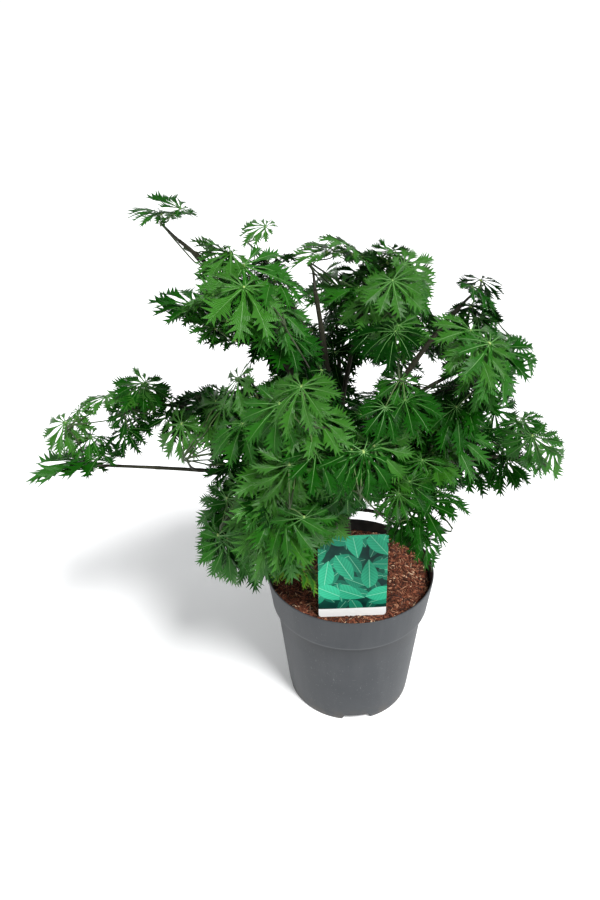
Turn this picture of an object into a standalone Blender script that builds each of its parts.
"""Potted full moon maple: a bushy young tree in a grey nursery pot of bark mulch, with a picture card.

Everything is laid out from the pot's axis, with the pot standing on z = 0 and the card at its front (-Y).
At the end the whole plant is moved so that the middle of its bounding box stands over the origin.
"""

import math

import bmesh
import bpy
from mathutils import Matrix, Vector, noise

# ---- Driving dimensions, in metres -------------------------------------------------------------

GAP = 0.0003  # clearance between neighbouring solids

POT_HEIGHT = 0.2484
RIM_RADIUS = 0.140
COLLAR_FOOT = 0.1885  # height at which the collar ends
COLLAR_FOOT_RADIUS = 0.133
BODY_TOP = 0.1850
BODY_TOP_RADIUS = 0.1262
BASE_RADIUS = 0.1080
WALL = 0.0022
FLOOR_RISE = 0.0112  # the floor's underside stands clear of the ground
FLOOR = 0.0025
RING_WIDTH = 0.006  # the foot ring's flat underside
TURN_STEPS = 36

NOTCHES = 4  # drain notches in the foot ring
NOTCH_TURN = math.radians(-86.7)
NOTCH_FOOT = 0.050
NOTCH_TOP = 0.040
NOTCH_HEIGHT = 0.0100
NOTCH_CUT_LENGTH = 0.030  # the cutting wedge, along the radius
NOTCH_CUT_BELOW = 0.003  # and how far it reaches below the ground
HOLES = 4  # drain holes in the floor, between the notches
HOLE_RADIUS = 0.007
HOLE_RING = 0.078
HOLE_SIDES = 10

SOIL_TOP = 0.2315  # at the trunk
SOIL_FALL = 0.004  # drop of the soil from the trunk to the wall
SOIL_FLAT = 0.030  # radius of the level middle
SOIL_KNEE = (0.55, 0.25)  # at this share of the rim's radius the soil has dropped by this share

CARD_WIDTH = 0.105
CARD_HEIGHT = 0.148
CARD_THICK = 0.0008
CARD_CORNER = 0.005
CARD_FOOT = (-0.004, -0.1035, 0.2318)  # middle of the lower edge
CARD_TURN = math.radians(1.0)
CARD_LEAN = math.radians(3.0)
SPIKE_WIDTH = 0.012
SPIKE_DEPTH = 0.045
SPIKE_SHOULDER = 0.85  # share of the spike above its point

TRUNK_FOOT = (-0.004, 0.010)
TRUNK_FORK = (-0.014, 0.016, 0.365)
TRUNK_RADIUS = 0.0125
TRUNK_TIP_RADIUS = 0.0095
FLARE = 0.0070  # the root flare adds this at the soil
FLARE_HEIGHT = 0.012  # and fades over this height
TRUNK_RISE = 1.3  # how late the trunk's points rise: 1 is even
LIMB_POINTS = 9

# Foliage: the centre of each mass and its half width (X), half depth (Y) and half height (Z).
FOLIAGE = {
    "shoot_tip": ((-0.242, 0.000, 0.811), (0.060, 0.042, 0.036)),
    "shoot_middle": ((-0.187, 0.000, 0.752), (0.045, 0.045, 0.046)),
    "shoot_foot": ((-0.208, -0.030, 0.690), (0.072, 0.055, 0.038)),
    "top_left": ((-0.125, 0.050, 0.762), (0.047, 0.050, 0.038)),
    "top_middle": ((-0.055, 0.050, 0.738), (0.055, 0.060, 0.045)),
    "top_right": ((0.040, 0.090, 0.730), (0.046, 0.056, 0.040)),
    "upper_middle": ((0.037, -0.015, 0.684), (0.058, 0.060, 0.040)),
    "upper_right": ((0.102, 0.070, 0.692), (0.040, 0.048, 0.034)),
    "right_top": ((0.172, 0.050, 0.702), (0.058, 0.048, 0.036)),
    "right_shoulder": ((0.229, 0.040, 0.616), (0.062, 0.055, 0.044)),
    "right_front_top": ((0.140, -0.085, 0.625), (0.058, 0.050, 0.056)),
    "front_right_top": ((0.048, -0.130, 0.648), (0.050, 0.046, 0.046)),
    "right_middle": ((0.100, -0.070, 0.535), (0.066, 0.058, 0.055)),
    "right_tip": ((0.268, -0.005, 0.463), (0.055, 0.054, 0.056)),
    "right_back_low": ((0.212, 0.122, 0.415), (0.074, 0.072, 0.050)),
    "front_right_middle": ((0.098, -0.140, 0.485), (0.048, 0.042, 0.034)),
    "front_right_low": ((0.044, -0.175, 0.442), (0.041, 0.037, 0.042)),
    "rim_right": ((0.112, -0.130, 0.408), (0.044, 0.042, 0.045)),
    "front_low": ((-0.014, -0.180, 0.506), (0.059, 0.043, 0.038)),
    "front_top": ((-0.042, -0.175, 0.612), (0.066, 0.054, 0.052)),
    "front_left_top": ((-0.102, -0.085, 0.690), (0.074, 0.058, 0.057)),
    "left_front_middle": ((-0.130, -0.110, 0.575), (0.048, 0.052, 0.045)),
    "front_left": ((-0.095, -0.175, 0.500), (0.054, 0.046, 0.044)),
    "front_left_low": ((-0.125, -0.160, 0.432), (0.046, 0.042, 0.040)),
    "left_low": ((-0.198, -0.100, 0.405), (0.042, 0.048, 0.054)),
    "rim_left": ((-0.174, -0.087, 0.322), (0.042, 0.044, 0.041)),
    "rim_front": ((-0.098, -0.088, 0.320), (0.036, 0.038, 0.036)),
    "card_leaf": ((-0.040, -0.147, 0.424), (0.038, 0.028, 0.040)),
    "left_middle": ((-0.225, -0.045, 0.482), (0.068, 0.060, 0.049)),
    "left_upper": ((-0.208, 0.050, 0.560), (0.064, 0.058, 0.038)),
    "arm_tip": ((-0.425, -0.005, 0.463), (0.065, 0.052, 0.035)),
    "arm_upper": ((-0.418, 0.055, 0.514), (0.050, 0.050, 0.034)),
    "arm_middle": ((-0.333, 0.030, 0.552), (0.044, 0.054, 0.042)),
    "back_top": ((-0.010, 0.180, 0.640), (0.086, 0.066, 0.056)),
    "back_left_top": ((-0.150, 0.165, 0.610), (0.070, 0.070, 0.052)),
    "back_right_top": ((0.135, 0.170, 0.575), (0.082, 0.072, 0.056)),
    "back_left_low": ((-0.150, 0.190, 0.450), (0.082, 0.070, 0.058)),
    "back_right_low": ((0.110, 0.215, 0.430), (0.074, 0.066, 0.056)),
    "back_middle": ((-0.020, 0.260, 0.500), (0.100, 0.066, 0.072)),
}
MASS_SEGMENTS = 12
MASS_RINGS = 7
FULLNESS = 1.13  # every mass is this much larger than its sizes above, and is cut flat where it meets another
UNEVEN = 0.34  # how far a mass swells and shrinks
UNEVEN_SCALE = 1.8
UNDERSIDE = 0.80  # a mass is flatter below
DROOP = math.radians(26)  # outward tilt of a mass at the crown's edge
CROWN_MIDDLE = (-0.02, 0.03)
CROWN_REACH = 0.30

# Limbs: parent, share of the parent's length where it leaves, the mass it ends in, how early it rises
# (0 to 1), and its radius at the foot and at the tip.
LIMBS = {
    "stem_left": ("trunk", 0.72, "shoot_tip", 0.52, 0.0072, 0.0024),
    "stem_middle": ("trunk", 0.97, "top_middle", 0.30, 0.0075, 0.0030),
    "stem_right": ("trunk", 0.84, "right_top", 0.42, 0.0070, 0.0028),
    "stem_front": ("trunk", 0.60, "front_top", 0.30, 0.0062, 0.0028),
    "stem_back": ("trunk", 0.66, "back_top", 0.30, 0.0066, 0.0030),
    "bough_arm": ("stem_left", 0.14, "arm_tip", 0.38, 0.0046, 0.0022),
    "bough_left": ("stem_left", 0.30, "arm_middle", 0.45, 0.0040, 0.0020),
    "bough_top_left": ("stem_middle", 0.45, "top_left", 0.40, 0.0040, 0.0022),
    "bough_top_right": ("stem_middle", 0.30, "top_right", 0.45, 0.0042, 0.0022),
    "bough_right": ("stem_right", 0.34, "right_shoulder", 0.50, 0.0044, 0.0022),
    "bough_right_low": ("stem_right", 0.14, "right_tip", 0.40, 0.0042, 0.0022),
    "bough_front_right": ("stem_right", 0.24, "right_front_top", 0.45, 0.0042, 0.0022),
    "bough_front_low": ("stem_front", 0.16, "rim_right", 0.75, 0.0036, 0.0020),
    "bough_front_left": ("stem_front", 0.34, "left_front_middle", 0.45, 0.0038, 0.0022),
    "bough_left_low": ("trunk", 0.46, "left_low", 0.65, 0.0046, 0.0020),
    "bough_back_left": ("stem_back", 0.26, "back_left_low", 0.50, 0.0042, 0.0024),
    "bough_back_right": ("stem_back", 0.38, "back_right_low", 0.55, 0.0042, 0.0024),
}
ENTRY = 0.62  # a limb stops this share of the mass's radius short of its centre
CLOSE_LIMB = 4  # limbs are close within this many times a foot's radius
CLOSE_MASS = 1.3  # a limb may touch a mass within this many times its half size


# ---- Scene, collections and materials -----------------------------------------------------------


def clear_scene():
    for old in list(bpy.data.objects):
        bpy.data.objects.remove(old)


def new_collection(name):
    made = bpy.data.collections.new(name)
    bpy.context.scene.collection.children.link(made)
    return made


def material(name, colour, roughness, metallic=0.0):
    made = bpy.data.materials.new(name)
    made.use_nodes = True
    shader = made.node_tree.nodes["Principled BSDF"]
    shader.inputs["Base Color"].default_value = (*colour, 1.0)
    shader.inputs["Roughness"].default_value = roughness
    shader.inputs["Metallic"].default_value = metallic
    return made


clear_scene()
PARTS = new_collection("potted_full_moon_maple")
CUTTERS = new_collection("cutters")
ROOT = bpy.data.objects.new("plant_root", None)
PARTS.objects.link(ROOT)


def place(name, mesh, collection, look=None):
    """Puts a mesh into a collection as a child of the plant's root."""
    made = bpy.data.objects.new(name, mesh)
    collection.objects.link(made)
    made.parent = ROOT
    if look:
        made.data.materials.append(look)
    if collection is CUTTERS:
        made.hide_render = True
        made.display_type = "WIRE"
    return made


def cut(body, cutter):
    """Cuts one object out of another with an exact Boolean."""
    boolean = body.modifiers.new("cut_" + cutter.name, "BOOLEAN")
    boolean.operation = "DIFFERENCE"
    boolean.solver = "EXACT"
    boolean.object = cutter


def mesh_from(bm, name):
    bmesh.ops.recalc_face_normals(bm, faces=bm.faces)
    mesh = bpy.data.meshes.new(name)
    bm.to_mesh(mesh)
    bm.free()
    return mesh


def turned(name, profile, look):
    """A turned solid: its profile (radius, height) runs from the axis, over the outside, back to the axis."""
    bm = bmesh.new()
    points = [bm.verts.new((radius, 0.0, height)) for radius, height in profile]
    for first, second in zip(points, points[1:]):
        bm.edges.new((first, second))
    mesh = bpy.data.meshes.new(name)
    bm.to_mesh(mesh)
    bm.free()
    made = place(name, mesh, PARTS, look)
    screw = made.modifiers.new("turn", "SCREW")
    screw.steps = screw.render_steps = TURN_STEPS
    screw.use_merge_vertices = True
    screw.merge_threshold = 0.0001
    screw.use_smooth_shade = False
    return made


# ---- Pot -----------------------------------------------------------------------------------------


def inner_radius(height):
    """Radius of the pot's inner wall, which follows the outside at one wall's distance."""
    if height >= COLLAR_FOOT:
        share = (height - COLLAR_FOOT) / (POT_HEIGHT - COLLAR_FOOT)
        return COLLAR_FOOT_RADIUS + share * (RIM_RADIUS - COLLAR_FOOT_RADIUS) - WALL
    share = height / BODY_TOP
    return BASE_RADIUS + share * (BODY_TOP_RADIUS - BASE_RADIUS) - WALL


def pot():
    floor_top = FLOOR_RISE + FLOOR
    profile = [
        (0.0, floor_top),
        (inner_radius(floor_top), floor_top),
        (inner_radius(BODY_TOP), BODY_TOP),
        (inner_radius(COLLAR_FOOT), COLLAR_FOOT),
        (inner_radius(POT_HEIGHT), POT_HEIGHT),
        (RIM_RADIUS, POT_HEIGHT),
        (COLLAR_FOOT_RADIUS, COLLAR_FOOT),
        (BODY_TOP_RADIUS, BODY_TOP),
        (BASE_RADIUS, 0.0),
        (BASE_RADIUS - RING_WIDTH, 0.0),
        (BASE_RADIUS - RING_WIDTH - 0.001, FLOOR_RISE),
        (0.0, FLOOR_RISE),
    ]
    made = turned("pot", profile, material("grey_plastic", (0.115, 0.125, 0.135), 0.45))
    cut(made, notch_cutter())
    cut(made, hole_cutter())
    return made


def notch_cutter():
    """Wedges with sloping sides across the foot ring, one for each drain notch."""
    bm = bmesh.new()
    slope = (NOTCH_FOOT - NOTCH_TOP) / 2 / NOTCH_HEIGHT
    for count in range(NOTCHES):
        made = bmesh.ops.create_cube(bm, size=1.0)["verts"]
        for vert in made:
            top = vert.co.z > 0
            width = NOTCH_TOP if top else NOTCH_FOOT + 2 * slope * NOTCH_CUT_BELOW
            vert.co = Vector((
                BASE_RADIUS - RING_WIDTH / 2 + vert.co.x * NOTCH_CUT_LENGTH,
                vert.co.y * width,
                NOTCH_HEIGHT if top else -NOTCH_CUT_BELOW,
            ))
        turn = Matrix.Rotation(NOTCH_TURN + count * math.tau / NOTCHES, 4, "Z")
        bmesh.ops.transform(bm, matrix=turn, verts=made)
    return place("notch_cutter", mesh_from(bm, "notch_cutter"), CUTTERS)


def hole_cutter():
    """Upright rods through the floor, one for each drain hole."""
    bm = bmesh.new()
    for count in range(HOLES):
        angle = NOTCH_TURN + (count + 0.5) * math.tau / HOLES
        spot = Vector((HOLE_RING * math.cos(angle), HOLE_RING * math.sin(angle), FLOOR_RISE))
        bmesh.ops.create_cone(
            bm, cap_ends=True, segments=HOLE_SIDES, radius1=HOLE_RADIUS, radius2=HOLE_RADIUS,
            depth=4 * FLOOR, matrix=Matrix.Translation(spot),
        )
    return place("hole_cutter", mesh_from(bm, "hole_cutter"), CUTTERS)


# ---- Soil and card -------------------------------------------------------------------------------


def soil():
    """The root ball and mulch: it fills the pot to just below the rim and falls a little to the wall."""
    bottom = FLOOR_RISE + FLOOR + GAP
    edge = SOIL_TOP - SOIL_FALL
    profile = [
        (0.0, SOIL_TOP),
        (SOIL_FLAT, SOIL_TOP),
        (SOIL_KNEE[0] * RIM_RADIUS, SOIL_TOP - SOIL_KNEE[1] * SOIL_FALL),
        (inner_radius(edge) - GAP, edge),
        (inner_radius(COLLAR_FOOT) - GAP, COLLAR_FOOT),
        (inner_radius(BODY_TOP) - GAP, BODY_TOP),
        (inner_radius(bottom) - GAP, bottom),
        (0.0, bottom),
    ]
    return turned("soil", profile, material("bark_mulch", (0.19, 0.055, 0.025), 0.95))


def card_matrix():
    turn = Matrix.Rotation(CARD_TURN, 4, "Z") @ Matrix.Rotation(-CARD_LEAN, 4, "X")
    return Matrix.Translation(CARD_FOOT) @ turn


def card_outline():
    """Points of the card seen from the front, (across, up): a rounded oblong with a spike below."""
    half = CARD_WIDTH / 2
    points = [(SPIKE_WIDTH / 2, 0.0)]
    corners = (
        (half - CARD_CORNER, CARD_CORNER, -90),
        (half - CARD_CORNER, CARD_HEIGHT - CARD_CORNER, 0),
        (-half + CARD_CORNER, CARD_HEIGHT - CARD_CORNER, 90),
        (-half + CARD_CORNER, CARD_CORNER, 180),
    )
    for across, up, start in corners:
        for step in range(4):
            angle = math.radians(start + 30 * step)
            points.append((across + CARD_CORNER * math.cos(angle), up + CARD_CORNER * math.sin(angle)))
    points += [
        (-SPIKE_WIDTH / 2, 0.0),
        (-SPIKE_WIDTH / 2, -SPIKE_SHOULDER * SPIKE_DEPTH),
        (0.0, -SPIKE_DEPTH),
        (SPIKE_WIDTH / 2, -SPIKE_SHOULDER * SPIKE_DEPTH),
    ]
    return points


def card():
    """The picture card: a flat outline given half its thickness each way, then stood up in the soil."""
    outline = bpy.data.curves.new("card", "CURVE")
    outline.dimensions = "2D"
    outline.fill_mode = "BOTH"
    outline.extrude = CARD_THICK / 2
    points = card_outline()
    spline = outline.splines.new("POLY")
    spline.points.add(len(points) - 1)
    for point, (across, up) in zip(spline.points, points):
        point.co = (across, up, 0.0, 1.0)
    spline.use_cyclic_u = True
    made = place("card", outline, PARTS, material("card_print", (0.08, 0.42, 0.30), 0.35))
    made.matrix_local = card_matrix() @ Matrix.Rotation(math.pi / 2, 4, "X")
    return made


def spike_cutter():
    """The slot that the card's spike leaves in the soil."""
    bm = bmesh.new()
    bmesh.ops.create_cube(bm, size=1.0)
    size = (SPIKE_WIDTH + 2 * GAP, CARD_THICK + 2 * GAP, SPIKE_DEPTH + 0.01)
    for vert in bm.verts:
        vert.co = Vector((vert.co.x * size[0], vert.co.y * size[1], vert.co.z * size[2]))
        vert.co.z += size[2] / 2 - SPIKE_DEPTH - GAP
    bmesh.ops.transform(bm, matrix=card_matrix(), verts=bm.verts)
    return place("spike_cutter", mesh_from(bm, "spike_cutter"), CUTTERS)


# ---- Limbs ---------------------------------------------------------------------------------------


def mass_radius(name, direction):
    """How far a mass's plain ellipsoid reaches from its centre in a direction."""
    half = FOLIAGE[name][1]
    return FULLNESS / math.sqrt(sum((along / size) ** 2 for along, size in zip(direction, half)))


def arch(start, tip, lift, count):
    """A limb's line: it leaves start steeply, by the share lift, and bends over towards tip."""
    knee = Vector((
        start.x + (1 - lift) * 0.5 * (tip.x - start.x),
        start.y + (1 - lift) * 0.5 * (tip.y - start.y),
        start.z + (0.35 + 0.65 * lift) * (tip.z - start.z),
    ))
    line = []
    for step in range(count):
        t = step / (count - 1)
        line.append((1 - t) ** 2 * start + 2 * t * (1 - t) * knee + t**2 * tip)
    return line


def trunk_line():
    """The trunk rises straight from its flat cut, then leans to the fork."""
    foot = Vector((*TRUNK_FOOT, SOIL_TOP + GAP))
    fork = Vector(TRUNK_FORK)
    line = []
    for step in range(LIMB_POINTS):
        t = step / (LIMB_POINTS - 1)
        height = foot.z + (t ** TRUNK_RISE) * (fork.z - foot.z)
        lean = ((height - foot.z) / (fork.z - foot.z)) ** 2
        line.append(Vector((foot.x + lean * (fork.x - foot.x), foot.y + lean * (fork.y - foot.y), height)))
    return line


def point_along(line, share):
    """The point at a share of a line's length."""
    lengths = [(second - first).length for first, second in zip(line, line[1:])]
    left = share * sum(lengths)
    for first, second, length in zip(line, line[1:], lengths):
        if left <= length:
            return first.lerp(second, left / length)
        left -= length
    return line[-1].copy()


def trunk_radius(height):
    rise = height - SOIL_TOP
    share = rise / (TRUNK_FORK[2] - SOIL_TOP)
    taper = TRUNK_RADIUS + share * (TRUNK_TIP_RADIUS - TRUNK_RADIUS)
    return taper + FLARE * math.exp(-rise / FLARE_HEIGHT)


def limb_lines():
    """Each limb's points and radii, parents before children."""
    line = trunk_line()
    lines = {"trunk": (line, [trunk_radius(point.z) for point in line])}
    for name, (parent, share, mass, lift, foot_radius, tip_radius) in LIMBS.items():
        start = point_along(lines[parent][0], share)
        centre = Vector(FOLIAGE[mass][0])
        inward = (start - centre).normalized()
        tip = centre + ENTRY * mass_radius(mass, inward) * inward
        line = arch(start, tip, lift, LIMB_POINTS)
        last = len(line) - 1
        radii = [foot_radius + (tip_radius - foot_radius) * step / last for step in range(len(line))]
        lines[name] = (line, radii)
    return lines


def tube(name, line, radii, collection, look=None):
    """A tapering tube along a line, welded shut at both ends."""
    curve = bpy.data.curves.new(name, "CURVE")
    curve.dimensions = "3D"
    curve.bevel_depth = 1.0
    curve.bevel_resolution = 1
    curve.use_fill_caps = True
    spline = curve.splines.new("POLY")
    spline.points.add(len(line) - 1)
    for point, place_at, radius in zip(spline.points, line, radii):
        point.co = (*place_at, 1.0)
        point.radius = radius
    guide = bpy.data.objects.new(name + "_line", curve)
    bpy.context.scene.collection.objects.link(guide)
    graph = bpy.context.evaluated_depsgraph_get()
    mesh = bpy.data.meshes.new_from_object(guide.evaluated_get(graph))
    bpy.data.objects.remove(guide)
    bm = bmesh.new()
    bm.from_mesh(mesh)
    bmesh.ops.remove_doubles(bm, verts=bm.verts, dist=0.00001)
    return place(name, mesh_from(bm, name), collection, look)


def longer(line, radii):
    """The same limb grown by the gap on every side and at its tip."""
    end = line[-1] + GAP * (line[-1] - line[-2]).normalized()
    return line[:-1] + [end], [radius + GAP for radius in radii]


def limbs():
    """The trunk and all limbs; a limb is cut back to the surface of those before it."""
    bark = material("bark", (0.09, 0.075, 0.045), 0.8)
    lines = limb_lines()
    cutters = {}
    for name, (line, radii) in lines.items():
        made = tube(name, line, radii, PARTS, bark)
        if name in LIMBS:
            parent = LIMBS[name][0]
            cut(made, cutters[parent])
            for elder in near_elders(name, lines):
                cut(made, cutters[elder])
        cutters[name] = tube(name + "_cutter", *longer(line, radii), CUTTERS)
    return lines, cutters


def near_elders(name, lines):
    """Earlier limbs, apart from the parent, that pass close to where this limb starts."""
    line, radii = lines[name]
    reach = CLOSE_LIMB * radii[0]
    found = []
    for elder, (points, sizes) in lines.items():
        if elder == name:
            break
        if elder != LIMBS[name][0] and distance(line[0], points) < reach:
            found.append(elder)
    return found


def distance(point, line):
    """Shortest distance from a point to a line of points."""
    return min(segment_distance(point, first, second) for first, second in zip(line, line[1:]))


def segment_distance(point, first, second):
    along = second - first
    share = max(0.0, min(1.0, (point - first).dot(along) / along.length_squared))
    return (point - (first + share * along)).length


# ---- Foliage masses ------------------------------------------------------------------------------


def dividing_planes(name):
    """For each other mass, a point and outward normal of the plane that keeps the two apart."""
    centre = Vector(FOLIAGE[name][0])
    planes = []
    for other, (place_at, _) in FOLIAGE.items():
        if other == name:
            continue
        between = Vector(place_at) - centre
        normal = between.normalized()
        mine = mass_radius(name, normal)
        theirs = mass_radius(other, normal)
        planes.append((centre + between * mine / (mine + theirs), normal))
    return planes


def foliage_mass(name, order, look):
    """One uneven closed mass: an ellipsoid with swellings, tilted outwards and cut flat at its neighbours."""
    centre, half = (Vector(value) for value in FOLIAGE[name])
    outward = Vector((centre.x - CROWN_MIDDLE[0], centre.y - CROWN_MIDDLE[1], 0.0))
    axis = Vector((0, 0, 1)).cross(outward.normalized())
    tilt = Matrix.Rotation(DROOP * min(1.0, outward.length / CROWN_REACH), 3, axis)
    planes = dividing_planes(name)
    bm = bmesh.new()
    bmesh.ops.create_uvsphere(bm, u_segments=MASS_SEGMENTS, v_segments=MASS_RINGS, radius=1.0)
    for vert in bm.verts:
        direction = vert.co.normalized()
        own_place = direction * UNEVEN_SCALE + Vector((order * 3.7, order * 1.3, 0.0))
        swell = FULLNESS * (1 + UNEVEN * noise.noise(own_place))
        lower = UNDERSIDE if direction.z < 0 else 1.0
        reach = Vector((direction.x * half.x, direction.y * half.y, direction.z * half.z * lower))
        offset = tilt @ (reach * swell)
        for spot, normal in planes:
            limit = (spot - centre).dot(normal) - GAP
            ahead = offset.dot(normal)
            if ahead > limit:
                offset *= limit / ahead
        vert.co = centre + offset
    return place(name, mesh_from(bm, name), PARTS, look)


def near_mass(name, line, radii):
    centre, half = FOLIAGE[name]
    return distance(Vector(centre), line) < CLOSE_MASS * max(half) + max(radii)


# ---- Assembly ------------------------------------------------------------------------------------


def stand_over_origin():
    """Moves the root so that the middle of the plant's bounding box is over the origin."""
    bpy.context.view_layer.update()
    graph = bpy.context.evaluated_depsgraph_get()
    points = []
    for part in PARTS.objects:
        if part is not ROOT:
            solid = part.evaluated_get(graph)
            points += [solid.matrix_world @ vert.co for vert in solid.to_mesh().vertices]
            solid.to_mesh_clear()
    for axis in (0, 1):
        values = [point[axis] for point in points]
        ROOT.location[axis] = -(min(values) + max(values)) / 2


pot()
root_ball = soil()
card()
cut(root_ball, spike_cutter())
limb_line, limb_cutter = limbs()
leaf_green = material("leaf_green", (0.055, 0.20, 0.035), 0.6)
for order, mass_name in enumerate(FOLIAGE):
    mass = foliage_mass(mass_name, order, leaf_green)
    for limb_name, (line, radii) in limb_line.items():
        if near_mass(mass_name, line, radii):
            cut(mass, limb_cutter[limb_name])
stand_over_origin()
